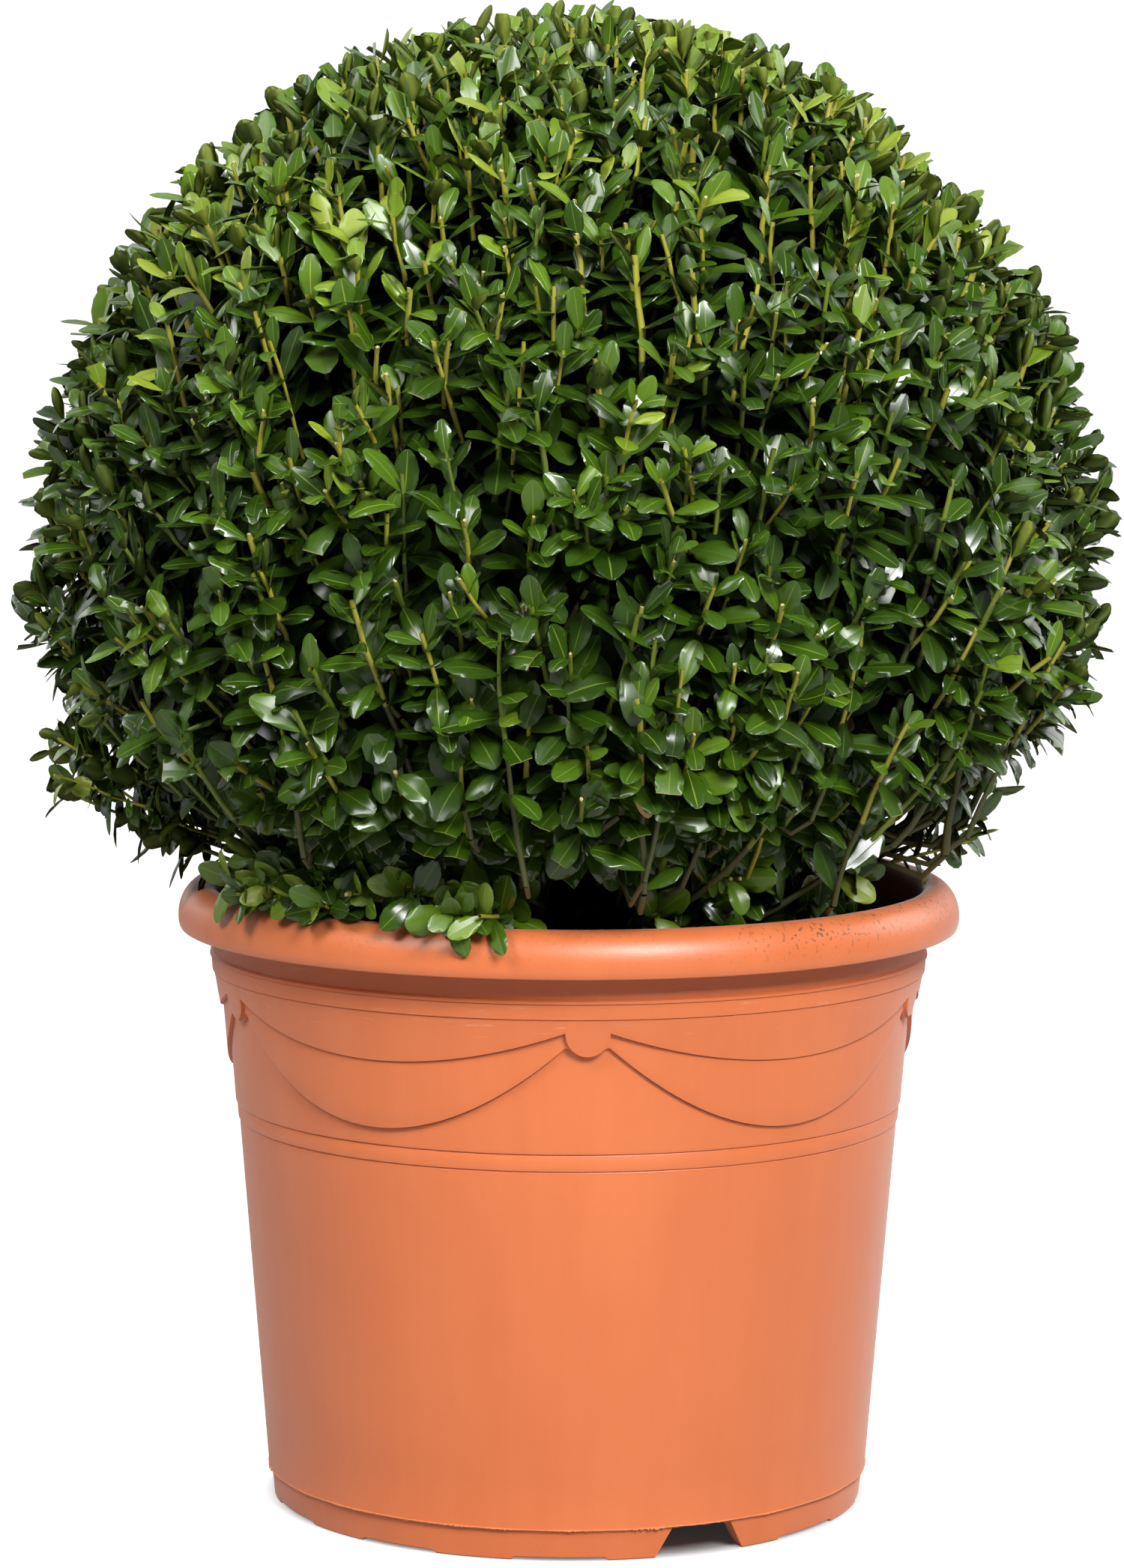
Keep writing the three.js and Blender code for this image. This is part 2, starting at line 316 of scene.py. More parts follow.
def make_floor():
    """A floor that is dim at the pot's foot, where its glow fades out to a painted shadow, and glows white
    to the camera away from it.
    """
    corners = np.array([[-1, -1, 0], [1, -1, 0], [1, 1, 0], [-1, 1, 0]]) * FLOOR_HALF + UP * FLOOR_HEIGHT
    sockets = {"Specular_IOR_Level": 0.0, "Emission_Color": (1, 1, 1, 1)}
    material = new_material("floor_white", (0.35, 0.35, 0.35), 1.0, **sockets)
    nodes = Nodes(material)
    distance = nodes.add("ShaderNodeVectorMath", nodes.point)
    distance.operation = "LENGTH"
    # painted shadow at the foot, where the glow drops almost to nothing
    glow = nodes.span(distance.outputs["Value"], *SHADOW_TO_GLOW_RADII, *SHADOW_TO_GLOW_LEVELS)
    nodes.output("Emission Strength", nodes.product(glow, nodes.seen()))
    make_object("floor", corners, [[0, 1, 2, 3]], [material], smooth=False)


def make_studio():
    make_camera()
    make_world()
    make_floor()
    for name, light in LIGHTS.items():
        make_light(name, *light)
    settings = bpy.context.scene.view_settings
    settings.view_transform = "Standard"
    settings.look = "None"


# ---- pot ----

SWAGS = 5
FIRST_KNOB = 3.0
KNOB_HALF = 3.5
KNOB_DROP = 11.8
UPPER_EDGE = 267.0  # where the two hanging edges start at a knob
LOWER_EDGE = 259.3
UPPER_SAG = 18.0
LOWER_SAG = 44.3
BAND_RELIEF = 2.2
BAND_TAPER = 0.17
WALL_FOOT = 16.2
WALL_FOOT_RADIUS = 154.4
WALL_TAPER = 0.0805
WALL_THICKNESS = 3.2
FINE_LINES = (197.4, 206.0)
FINE_STEP = 0.6
FINE_GROOVE = 0.45
LEDGE_LOW = 274.0
LEDGE_HIGH = 282.4
LEDGE_RADIUS = 182.7
RIM_INNER = 179.4
RIM_DEPTH = 22.9
RIM_ROLL = (12.6, 16.7)  # half-width and half-height of the rim's round outer face
FOOT_INNER = 143.0
FOOT_RADIUS = 151.5
FLOOR_UNDER = 14.5
FLOOR_TOP = 18.5
NOTCHES = 3
FIRST_NOTCH = 26.0
NOTCH_OUTLINE = ((-26, -3), (26, -3), (16, 15.2), (-16, 15.2))
PAD_HEIGHT = 1.3
PAD_EDGES = (18.5, 36, 52)  # degrees from a notch
FLASH_POINTS = 1400
FLASH_CLUMP = 15.0  # azimuth where the flash is most ragged
SHARP_ANGLE = 30


def from_nearest(azimuth, first, count):
    """Degrees from the nearest of a count of equally spaced places."""
    pitch = 360 / count
    turn = (azimuth - first) % pitch
    return np.minimum(turn, pitch - turn)


def swag_edges(azimuth):
    """Heights of the upper and lower hanging edges at each azimuth."""
    off = from_nearest(azimuth, FIRST_KNOB, SWAGS)
    span = 180 / SWAGS - KNOB_HALF
    sag = 1 - (1 - np.clip(off - KNOB_HALF, 0, None) / span) ** 2
    inside = np.clip(1 - (off / KNOB_HALF) ** 2, 0, 1)
    drop = np.where(off < KNOB_HALF, KNOB_DROP * np.sqrt(inside), UPPER_SAG * sag)
    upper = UPPER_EDGE - drop
    lower = np.minimum(LOWER_EDGE - LOWER_SAG * sag, upper - 1.2)
    return upper, lower


def wall_radius(height):
    """Radius of the plain wall, with its two fine rounded steps."""
    steps = sum(smoothstep(line - 0.3, line + 0.3, height) for line in FINE_LINES)
    grooves = sum(np.exp(-(((height - line + 0.2) / 0.35) ** 2)) for line in FINE_LINES)
    plain = WALL_FOOT_RADIUS + WALL_TAPER * (height - WALL_FOOT)
    return plain + FINE_STEP * steps - FINE_GROOVE * grooves


def top_band(height):
    """Radius of the band between the swags and the ledge."""
    return LEDGE_RADIUS - 0.8 - BAND_TAPER * (LEDGE_LOW - height)


def foot_height(azimuth):
    """The foot stands on low pads, four in each third of the ring."""
    near = from_nearest(azimuth, FIRST_NOTCH, NOTCHES)
    one, two, three = (smoothstep(edge - 0.25, edge + 0.25, near) for edge in PAD_EDGES)
    return PAD_HEIGHT * (1 - (1 - one) - two * (1 - three))


def pot_columns():
    """Azimuths of the pot's grid, close together at the knobs."""
    pitch = 360 / SWAGS
    near = np.concatenate([np.arange(0, 3.2, 0.4), np.linspace(3.2, 3.7, 6)])
    half = np.concatenate([near, np.linspace(4.0, pitch / 2, 38)])
    one = np.concatenate([half, pitch - half[1:-1][::-1]])
    return np.concatenate([FIRST_KNOB + i * pitch + one for i in range(SWAGS)])


def rounded_step(low_radius, high_radius, height, rise=1.0):
    """Rows of a soft step in the wall: radii and heights from under it to over it."""
    shares = np.array([0, -0.22, 0.75, 0.95, 1.0])
    heights = np.array([-0.5, -0.1, 0.0, 0.12, 0.5]) * rise
    return [(low_radius + (high_radius - low_radius) * s, height + h) for s, h in zip(shares, heights)]


def steps_from(radius, height, *steps):
    return [(radius + r, height + h) for r, h in steps]


def between(low, high):
    """Heights of two rows inside a band of the wall."""
    return [low + 0.5 + (high - low - 1) * share for share in (0.3, 0.65)]


def pot_rows(azimuth, rng):
    """Rows of the pot's section, from under the floor out, up and down inside."""
    upper, lower = swag_edges(azimuth)
    foot = foot_height(azimuth)
    ragged = np.clip(rng.normal(0.0, 0.28, azimuth.shape), -0.15, 0.7)
    wall = list(np.linspace(WALL_FOOT + 0.8, FINE_LINES[0] - 1, 9))
    wall += [line + h for line in FINE_LINES for h in (-0.9, -0.5, -0.25, 0, 0.3, 0.7, 2)]
    wall += [FINE_LINES[1] + 2 + (lower - FINE_LINES[1] - 2.6) * share for share in (0.35, 0.7)]
    return [
        (FOOT_INNER, FLOOR_UNDER), (FOOT_INNER, 4.0),
        *steps_from(FOOT_INNER, foot, (1.2, 0.4), (2, 0)),
        *steps_from(FOOT_RADIUS, foot, (-0.6, 0), (0, 0.6)),
        (FOOT_RADIUS + 0.7, 8.0), (FOOT_RADIUS + 1.4, WALL_FOOT - 1.3),
        (FOOT_RADIUS + 2.2 + ragged, WALL_FOOT - 0.9 - ragged), (WALL_FOOT_RADIUS + 0.2, WALL_FOOT),
        *[(wall_radius(h), h) for h in wall],
        *rounded_step(wall_radius(lower), wall_radius(lower) + BAND_RELIEF, lower),
        *[(wall_radius(h) + BAND_RELIEF, h) for h in between(lower, upper)],
        *rounded_step(wall_radius(upper) + BAND_RELIEF, top_band(upper), upper),
        *[(top_band(h), h) for h in between(upper, LEDGE_LOW)],
        *rounded_step(LEDGE_RADIUS - 0.8, LEDGE_RADIUS, LEDGE_LOW, 0.8),
        (LEDGE_RADIUS + 0.3, 278.0),
        *rounded_step(LEDGE_RADIUS + 0.5, LEDGE_RADIUS + 1.2, LEDGE_HIGH - 0.8, 0.7),
        *steps_from(LEDGE_RADIUS, LEDGE_HIGH, (1.0, 0.6), (-0.4, 1.8)),
        (LEDGE_RADIUS - 0.6, 292.0),
        *steps_from(LEDGE_RADIUS, POT_TOP, (-0.4, -8.6), (1, -7.4)),
        *rim_rows(),
    ]


def rim_rows():
    """The rolled rim: lip, round outer face, flat top and the wall inside."""
    lip = POT_TOP - RIM_DEPTH
    wide, tall = RIM_ROLL
    turn = np.radians(np.linspace(6, 90, 12))
    return [
        *steps_from(RIM_RADIUS, POT_TOP, (-5.2, -7.6), (-4.2, -9)),
        *steps_from(RIM_RADIUS, lip, (-4.0, 1), (-3.4, 0.1), (-1.9, 0), (-1.0, 0.5)),
        *steps_from(RIM_RADIUS, lip, (-0.5, 1.6), (-0.1, 3.4), (0, 5.2)),
        *[(RIM_RADIUS - wide + wide * math.cos(t), lip + 6.2 + tall * math.sin(t)) for t in turn],
        *steps_from(RIM_INNER, POT_TOP, (5.6, -0.3), (3.2, -1.5), (1.3, -3.6), (0.3, -7)),
        (RIM_INNER - 0.1, 300.0), (RIM_INNER - 0.8, LEDGE_HIGH),
        (wall_radius(FINE_LINES[0]) - WALL_THICKNESS, FINE_LINES[0]),
        (WALL_FOOT_RADIUS - WALL_THICKNESS, FLOOR_TOP),
    ]


def notch_cutter(azimuth):
    """A wedge, wider at the ground, that cuts a drainage notch through the foot."""
    vertices = [(x, y - FOOT_INNER, z) for y in (2, -18) for x, z in NOTCH_OUTLINE]
    faces = [(0, 1, 2, 3), (7, 6, 5, 4), (0, 4, 5, 1), (1, 5, 6, 2), (2, 6, 7, 3), (3, 7, 4, 0)]
    cutter = make_object("notch_cutter", vertices, faces, [], smooth=False)
    cutter.matrix_world = turned(azimuth, "Z")
    close_shell(cutter)
    return cutter


def close_shell(piece, rings=()):
    """Closes rings of a piece's vertices with one face each, and turns every face outward."""
    shell = bmesh.new()
    shell.from_mesh(piece.data)
    shell.verts.ensure_lookup_table()
    for ring in rings:
        shell.faces.new([shell.verts[number] for number in ring])
    bmesh.ops.recalc_face_normals(shell, faces=shell.faces)
    shell.to_mesh(piece.data)
    shell.free()


def pot_material():
    """Satin plastic with faint mottles and streaks, scuffs under the rim and specks of soil on it."""
    sheen = {"Sheen_Weight": 0.3, "Sheen_Roughness": 0.45}
    material = new_material("pot_plastic", (0.78, 0.185, 0.052), 0.42, Specular_IOR_Level=0.75, **sheen)
    nodes = Nodes(material)
    mottle = nodes.noise(9, 4, 0.6)
    streak = nodes.noise((60, 60, 3), 3, 0.6)
    tone = nodes.span(nodes.blend(mottle, 0.6, streak), 0.35, 0.65)
    body = nodes.mix(tone, (0.70, 0.164, 0.043), (0.76, 0.190, 0.054))
    height = nodes.place("Z")
    scratch = nodes.noise((50, 50, 420), 3, 0.7)
    under_rim = nodes.product(nodes.span(height, 0.262, 0.268), nodes.span(height, 0.3, 0.286))
    scuff = nodes.product(nodes.span(scratch, 0.62, 0.72), under_rim, 0.32)
    worn = nodes.mix(scuff, body, (0.8, 0.5, 0.38))
    specks = nodes.span(nodes.noise(430), 0.60, 0.62)
    patch = nodes.span(nodes.noise(14), 0.42, 0.56)
    on_rim = nodes.span(height, 0.3, 0.312)
    right = nodes.span(nodes.place("X"), 0.02, 0.14, 0.15, 1.0)
    dirt = nodes.product(specks, patch, on_rim, right, 0.85)
    nodes.output("Base Color", nodes.mix(dirt, worn, (0.05, 0.03, 0.02)))
    grain = nodes.noise(900, 3, 0.6)
    nodes.output("Roughness", nodes.span(nodes.blend(grain, 0.3, mottle), 0.3, 0.7, 0.38, 0.5))
    nodes.bump(grain, 0.12, 0.6)
    return material


def make_pot(rng):
    """The pot as one moulding, with the drainage notches cut through its foot."""
    azimuth = pot_columns()
    rows = pot_rows(azimuth, rng)
    faces = grid_faces(len(rows), len(azimuth))
    pot = make_object("pot_moulding", ring_points(azimuth, rows), faces, [pot_material()])
    under_floor = range(0, len(rows) * len(azimuth), len(rows))
    close_shell(pot, (under_floor[::-1], [first + len(rows) - 1 for first in under_floor]))
    for number in range(NOTCHES):
        cut = pot.modifiers.new("notch", "BOOLEAN")
        cut.operation = "DIFFERENCE"
        cut.solver = "EXACT"
        cut.object = notch_cutter(FIRST_NOTCH + number * 360 / NOTCHES)
    cut_pot = pot.evaluated_get(bpy.context.evaluated_depsgraph_get())
    mesh = bpy.data.meshes.new_from_object(cut_pot)
    for cutter in [cut.object for cut in pot.modifiers]:
        bpy.data.objects.remove(cutter)
    pot.modifiers.clear()
    pot.data = mesh
    pot.data.shade_smooth()
    pot.data.set_sharp_from_angle(angle=math.radians(SHARP_ANGLE))
    finish_piece(pot, "pot_plastic", "pot")
    make_flash(rng)


def make_flash(rng):
    """The ragged moulding flash that hangs from the wall's bottom edge over the foot."""
    azimuth = np.arange(FLASH_POINTS) * 360 / FLASH_POINTS
    coarse = np.interp(azimuth, np.linspace(0, 360, 90), rng.gamma(1.5, 0.25, 90), period=360)
    ragged = rng.random(FLASH_POINTS) * coarse + 0.12
    clump = np.exp(-(((azimuth - FLASH_CLUMP) / 4) ** 2))
    ragged += 1.3 * rng.random(FLASH_POINTS) ** 2 * clump
    inner = WALL_FOOT_RADIUS - 0.2
    outer = WALL_FOOT_RADIUS + 0.25 + 0.45 * ragged
    top = WALL_FOOT + 0.15
    rows = [(inner, top), (outer, top - 0.1), (outer, top - 0.3 - 0.75 * ragged), (inner, top - 0.8)]
    faces = grid_faces(len(rows), FLASH_POINTS)[:, ::-1]
    material = new_material("pot_flash", (0.84, 0.30, 0.11), 0.5)
    make_piece("pot_flash", ring_points(azimuth, rows), faces, [material], "pot_plastic", smooth=False)


# ---- soil ----

SOIL_REACH = RIM_INNER - 0.6
SOIL_CROWN = 5.0  # how far the soil's top falls from its middle to the pot's wall
SOIL_GRID = (96, 34)
CRUMBS = 900


def soil_material():
    material = new_material("potting_soil", (0.02, 0.013, 0.009), 0.95)
    nodes = Nodes(material)
    patches = nodes.span(nodes.noise(70, 4, 0.65), 0.35, 0.7)
    nodes.output("Base Color", nodes.mix(patches, (0.009, 0.006, 0.004), (0.045, 0.028, 0.017)))
    nodes.bump(nodes.noise(420, 4, 0.7), 1.2, 0.9)
    return material


def make_soil(rng):
    """The rough top of the soil, and crumbs lying on it."""
    columns, rows = SOIL_GRID
    azimuth = np.arange(columns) * 360 / columns
    share = np.linspace(0, 1, rows) ** 0.8
    heights = SOIL_TOP - 0.5 - SOIL_CROWN * share**2 + rng.normal(0, 1.3, SOIL_GRID)
    heights[:, 0] = SOIL_TOP
    points = polar(azimuth[:, None], np.broadcast_to(share * SOIL_REACH, SOIL_GRID), heights)
    material = soil_material()
    make_piece("soil_top", points, grid_faces(rows, columns)[:, ::-1], [material], "potting_soil", "soil")
    distance = SOIL_REACH * np.sqrt(rng.random(CRUMBS)) * 0.985
    top = SOIL_TOP - SOIL_CROWN * (distance / SOIL_REACH) ** 2
    places = polar(rng.random(CRUMBS) * 360, distance, top)
    corners = unit(np.array([[1, 1, 1], [1, -1, -1], [-1, 1, -1], [-1, -1, 1]], float))
    size = rng.gamma(3.0, 0.75, CRUMBS) + 0.8
    bumpy = corners[None] * rng.uniform(0.7, 1.3, (CRUMBS, 4, 1)) + rng.normal(0, 0.25, (CRUMBS, 4, 3))
    vertices = places[:, None] + bumpy * size[:, None, None]
    faces = repeated([[0, 1, 2], [0, 3, 1], [0, 2, 3], [1, 3, 2]], 4, CRUMBS)
    make_piece("soil_crumbs", vertices, faces, [material], "potting_soil", smooth=False)


# ---- leaves ----

# colour, roughness and specular level
BLADES = {
    # from the oldest leaves to the youngest
    "leaf_deep": ((0.017, 0.041, 0.0026), 0.31, 0.5),
    "leaf_dark": ((0.026, 0.061, 0.0032), 0.31, 0.66),
    "leaf_dark_gloss": ((0.024, 0.057, 0.0032), 0.22, 0.66),
    "leaf_green": ((0.041, 0.093, 0.004), 0.32, 0.66),
    "leaf_green_gloss": ((0.039, 0.089, 0.004), 0.23, 0.66),
    "leaf_mid": ((0.062, 0.13, 0.005), 0.33, 0.66),
    "leaf_fresh": ((0.094, 0.18, 0.0068), 0.35, 0.66),
    "leaf_light": ((0.15, 0.24, 0.01), 0.36, 0.66),
    "leaf_yellow": ((0.235, 0.31, 0.018), 0.42, 0.66),
}
LEAF_LOOKS = BLADES | {
    "rib_green": ((0.055, 0.105, 0.01), 0.38, 0.4),
    "rib_pale": ((0.12, 0.19, 0.02), 0.42, 0.4),
    "rib_yellow": ((0.24, 0.31, 0.04), 0.45, 0.4),
    "under_olive": ((0.09, 0.13, 0.02), 0.6, 0.4),
    "under_pale": ((0.18, 0.23, 0.03), 0.6, 0.4),
    "cut_edge": ((0.2, 0.2, 0.05), 0.7, 0.4),
    "leaf_dry": ((0.1, 0.062, 0.022), 0.8, 0.2),
    # near-black painted shade, for the leaves deep inside the crown
    "leaf_painted_shade": ((0.006, 0.014, 0.002), 0.6, 0.08),
}
WOOD_LOOKS = {
    "twig_brown": ((0.075, 0.048, 0.022), 0.8, 0.5),
    "twig_olive": ((0.085, 0.08, 0.028), 0.7, 0.5),
    "shoot_green": ((0.15, 0.205, 0.02), 0.5, 0.5),
    "shoot_yellow": ((0.38, 0.36, 0.042), 0.5, 0.5),
    "shoot_olive": ((0.062, 0.068, 0.018), 0.6, 0.5),
    "cut_bark": ((0.3, 0.31, 0.05), 0.55, 0.5),
    "cut_wood": ((0.52, 0.44, 0.2), 0.7, 0.5),
}
FIRST_RIB, FIRST_UNDER, CUT_SLOT, DRY_SLOT, PAINTED_SHADE_SLOT = (
    list(LEAF_LOOKS).index(name)
    for name in ("rib_green", "under_olive", "cut_edge", "leaf_dry", "leaf_painted_shade")
)

LEAF_LENGTH = 19.0  # of the leaf at a shoot's tip
LEAF_GROWTH = 6.5  # how much longer the grown leaves are
WIDEST = 0.56  # where along its length a leaf is widest
DRY_CHANCE = 0.002
DETAIL = {
    # stations along the leaf, points across it, and the stations that its underside has
    "near": ((0, 0.14, 0.38, 0.64, 0.85, 0.96, 1), (-1, -0.52, -0.055, 0.055, 0.52, 1), (0, 2, 4, 6)),
    "middle": ((0, 0.24, 0.6, 0.87, 1), (-1, -0.07, 0.07, 1), ()),
    "deep": ((0, 0.55, 1), (-1, 0, 1), ()),
}
CUT_EDGE_START = 0.98  # where the pale edge of a cut leaf starts
MOST_TRIANGLES = 190000  # of one piece


def plain_materials(looks, *names):
    """Plain materials from a table of looks, in the order that face slots count them."""
    made = []
    for name in names or looks:
        colour, roughness, level = looks[name]
        made.append(new_material(name, colour, roughness, Specular_IOR_Level=level))
    return made


def leaf_outline(along):
    """Half-width of a leaf, as a share of its widest, at a share of its length."""
    along = np.clip(along, 0, 1)
    lower = np.sin(np.pi / 2 * np.minimum(along / WIDEST, 1)) ** 0.9
    upper = (1 - np.clip((along - WIDEST) / (1 - WIDEST), 0, 1) ** 2.3) ** 0.6
    base = 0.09 * (1 - smoothstep(0, 0.12, along))
    tip = 0.14 * smoothstep(0.9, 1.0, along)
    return np.maximum(np.where(along < WIDEST, lower, upper), np.maximum(base, tip))


class Table:
    """Arrays of one length, held under names."""

    def __init__(self, **fields):
        self.__dict__.update(fields)

    def only(self, mask):
        return type(self)(**{name: value[mask] for name, value in self.__dict__.items()})

    def count(self):
        return len(next(iter(self.__dict__.values())))


def joined(many):
    names = many[0].__dict__
    return type(many[0])(**{n: np.concatenate([getattr(one, n) for one in many]) for n in names})


class Leaves(Table):
    """One leaf for each row: where it starts, how it lies, its sizes, bends and tints."""

    def point(self, share):
        """Where each leaf is at a share of its length, taken as straight."""
        return self.base + self.axis * (self.length * share)[:, None]


def leaf_mesh(leaves, level):
    """Vertices, faces and face slots of all the leaves of one level of detail."""
    stations, points, below = DETAIL[level]
    count, s, p = leaves.count(), len(stations), len(points)
    along = np.tile(np.array(stations, float), (count, 1))
    was_cut = leaves.cut < 1
    if level == "near":
        along[was_cut, -2] = CUT_EDGE_START
    along = along * leaves.cut[:, None]
    half = 0.5 * leaves.width[:, None] * leaf_outline(along)
    bend = np.where(np.abs(leaves.bend) < 1e-3, 1e-3, leaves.bend)[:, None]
    length = leaves.length[:, None]
    forward = length * np.sin(bend * along) / bend
    drop = -length * (1 - np.cos(bend * along)) / bend
    axis = leaves.axis[:, None, :]
    normal = leaves.normal[:, None, :]
    side = np.cross(leaves.normal, leaves.axis)[:, None, None, :]
    spine = leaves.base[:, None, :] + axis * forward[..., None] + normal * drop[..., None]
    turn = (bend * along)[..., None]
    lift = np.cos(turn) * normal + np.sin(turn) * axis
    u = np.array(points, float)[None, None, :]
    rise = leaves.fold[:, None, None] * np.abs(u) - leaves.curl[:, None, None] * u**2
    top = spine[:, :, None, :] + side * (u * half[..., None])[..., None]
    top = top + lift[:, :, None, :] * (rise * half[..., None])[..., None]
    vertices = top.reshape(count, s * p, 3)
    first = (np.arange(s - 1)[:, None] * p + np.arange(p - 1)).ravel()
    faces = np.stack([first, first + 1, first + 1 + p, first + p], axis=-1)
    slots = np.repeat(leaves.blade[:, None], len(faces), axis=1)
    is_green = leaves.blade < FIRST_RIB
    if level != "deep":
        middle = np.arange(len(faces)) % (p - 1) == (p - 1) // 2
        slots[:, middle] = np.where(is_green, FIRST_RIB + leaves.rib, leaves.blade)[:, None]
    if level == "near":
        slots[was_cut, -(p - 1):] = CUT_SLOT
    if below:
        station = np.array(below)
        keel_depth = 0.4 * np.sin(np.pi * np.array(stations)[station]) + 0.02
        keel = spine[:, station] - lift[:, station] * keel_depth[None, :, None]
        vertices = np.concatenate([vertices, keel], axis=1)
        here, after = station[:-1] * p, station[1:] * p
        keel_here = s * p + np.arange(len(here))
        left = np.stack([here, after, keel_here + 1, keel_here], axis=-1)
        right = np.stack([keel_here, keel_here + 1, after + p - 1, here + p - 1], axis=-1)
        faces = np.concatenate([faces, left, right])
        under = np.where(is_green, FIRST_UNDER + leaves.under, leaves.blade)
        slots = np.concatenate([slots, np.repeat(under[:, None], 2 * len(here), axis=1)], axis=1)
    return vertices, repeated(faces, vertices.shape[1], count), slots


def make_leaf_pieces(name, leaves, level, materials, *nodes):
    """Joins leaves into pieces that each stay under the most triangles."""
    stations, points, below = DETAIL[level]
    quads = (len(stations) - 1) * (len(points) - 1) + 2 * max(len(below) - 1, 0)
    parts = math.ceil(leaves.count() * 2 * quads / MOST_TRIANGLES)
    for number in range(parts):
        chosen = leaves.only(np.arange(leaves.count()) % parts == number)
        vertices, faces, slots = leaf_mesh(chosen, level)
        make_piece(f"{name}_{number + 1}", vertices, faces, materials, "foliage", *nodes, slots=slots)


# ---- the shape of the crown ----

FAN_CENTRE = np.array([0.0, 0.0, 180.0])  # the shoots fan out as if from here
LOW_CENTRE = np.array([0.0, 0.0, 325.0])  # and the lowest of them bend out from here
CROWN_WAVES = 2.6
TUCK_HEIGHT = 335.0  # at this height the dense leaves have tucked in
TUCK_RADIUS = 156.0  # to this radius at the front and the back
TUCK_RIGHT = -38.0  # with this added at the right
TUCK_LEFT = 6.0  # and this at the left
TUCK_SLOPES = (2.2, 0.2, 0.9)  # at the front and back, and how much less at the right and the left
UNDERSIDE = 341.0
UNDERSIDE_TILT = 15.0
HIGHEST_UNDERSIDE = 80  # azimuth


def crown_reach(direction):
    """Distance from the ball's centre to its clipped surface in each direction."""
    azimuth = np.arctan2(direction[:, 0], -direction[:, 1])
    lift = np.arcsin(np.clip(direction[:, 2], -1, 1))
    outward = np.hypot(direction[:, 0], direction[:, 1])
    waves = np.sin(3 * azimuth + 2 * lift) * np.cos(4 * lift)
    waves += 0.8 * np.sin(5 * azimuth - 3 * lift + 1) + 0.6 * np.cos(7 * azimuth + 6 * lift)
    reach = BALL_RADIUS + CROWN_WAVES * outward * waves
    right = np.maximum(np.sin(azimuth), 0)
    left = np.maximum(-np.sin(azimuth), 0)
    slope = TUCK_SLOPES[0] - TUCK_SLOPES[1] * right - TUCK_SLOPES[2] * left
    flank = outward - slope * direction[:, 2]
    most = TUCK_RADIUS + TUCK_RIGHT * right + TUCK_LEFT * left + slope * (BALL_CENTRE[2] - TUCK_HEIGHT)
    tucked = np.where(flank > 0, most / np.maximum(flank, 1e-6), 1e9)
    return np.minimum(reach, tucked)


def in_crown(directions, share=1.0):
    """Points in each direction from the ball's centre, at a share of the way to its surface."""
    return BALL_CENTRE + directions * (crown_reach(directions) * share)[:, None]


def over_underside(points, margin):
    """Whether points lie more than a margin above the ball's underside, which tilts to the left."""
    azimuth = np.degrees(np.arctan2(points[:, 0], -points[:, 1]))
    tilt = UNDERSIDE_TILT * np.cos(np.radians(azimuth - HIGHEST_UNDERSIDE))
    return points[:, 2] > UNDERSIDE + tilt + margin


def on_bare_flank(points):
    """Whether points lie low at the right, where the crown is thin and its twigs show."""
    x, y, z = points.T
    return (x > 98) & (np.abs(y) < 125) & (z < 366)


def depth_in_crown(points):
    """How far points lie below the clipped surface."""
    offset = points - BALL_CENTRE
    return crown_reach(unit(offset)) - np.linalg.norm(offset, axis=-1)


def fan_heading(points, rise):
    """The way that wood at these points grows: away from the fan's centre, and upward."""
    return unit(unit(points - FAN_CENTRE) + rise * UP)


def spread_directions(count, rng):
    """Directions spread evenly over the sphere by a golden-angle spiral, each moved a little."""
    number = np.arange(count) + 0.5
    height = 1 - 2 * number / count
    turn = number * math.pi * (3 - math.sqrt(5))
    flat = np.sqrt(1 - height**2)
    directions = np.stack([flat * np.cos(turn), flat * np.sin(turn), height], axis=-1)
    spacing = math.sqrt(4 * math.pi / count)
    return unit(directions + rng.normal(0, 0.25 * spacing, directions.shape))


# ---- shoots ----

BALL_SHOOTS = 2250  # before some are left out
CLUMPS = 210
LOW_HEIGHTS = (350, 460)  # shoots bend out and are rounder of leaf from the higher to the lower
LOOSE_SIDE = (190, 245)  # distances to the left over which the crown opens up
FLANK_SHOOT_LOSS = 0.65
FLANK_LEAF_LOSS = 0.82
MOST_PAIRS = 13
PAIR_SPACING = (8, 15)
SKEW = (0.31, 0.2, 0.93)  # a direction that hardly any stem runs along
LOW_SHOOTS = (
    # count, ranges of azimuth, radius and height of the tips, lift, reach, leafy length, vigour
    # and youth
    (38, (-60, -8), (168, 198), (323, 344), 0.15, 70, 200, 1.0, 0.3),  # front left
    (16, (-62, -10), (190, 206), (324, 334), 0.05, 60, 34, 0.86, 0.45),  # over the rim there
    (26, (14, 62), (146, 172), (316, 350), 0.3, 60, 200, 1.0, 0.2),  # front right
    (40, (132, 236), (172, 204), (322, 344), 0.15, 70, 200, 1.0, 0.2),  # back
    (8, (-104, -78), (250, 277), (366, 400), 0.4, 120, 90, 0.66, 0.3),  # loose sprays at the left
    (9, (-104, -76), (205, 240), (345, 384), 0.3, 95, 42, 0.95, 0.1),  # and below them
    (5, (68, 100), (186, 216), (342, 366), 0.6, 80, 38, 0.85, 0.2),  # at the right
    (1, (84, 92), (214, 222), (362, 370), 0.35, 95, 7, 1.1, 0.0),  # one bare twig at the right
)


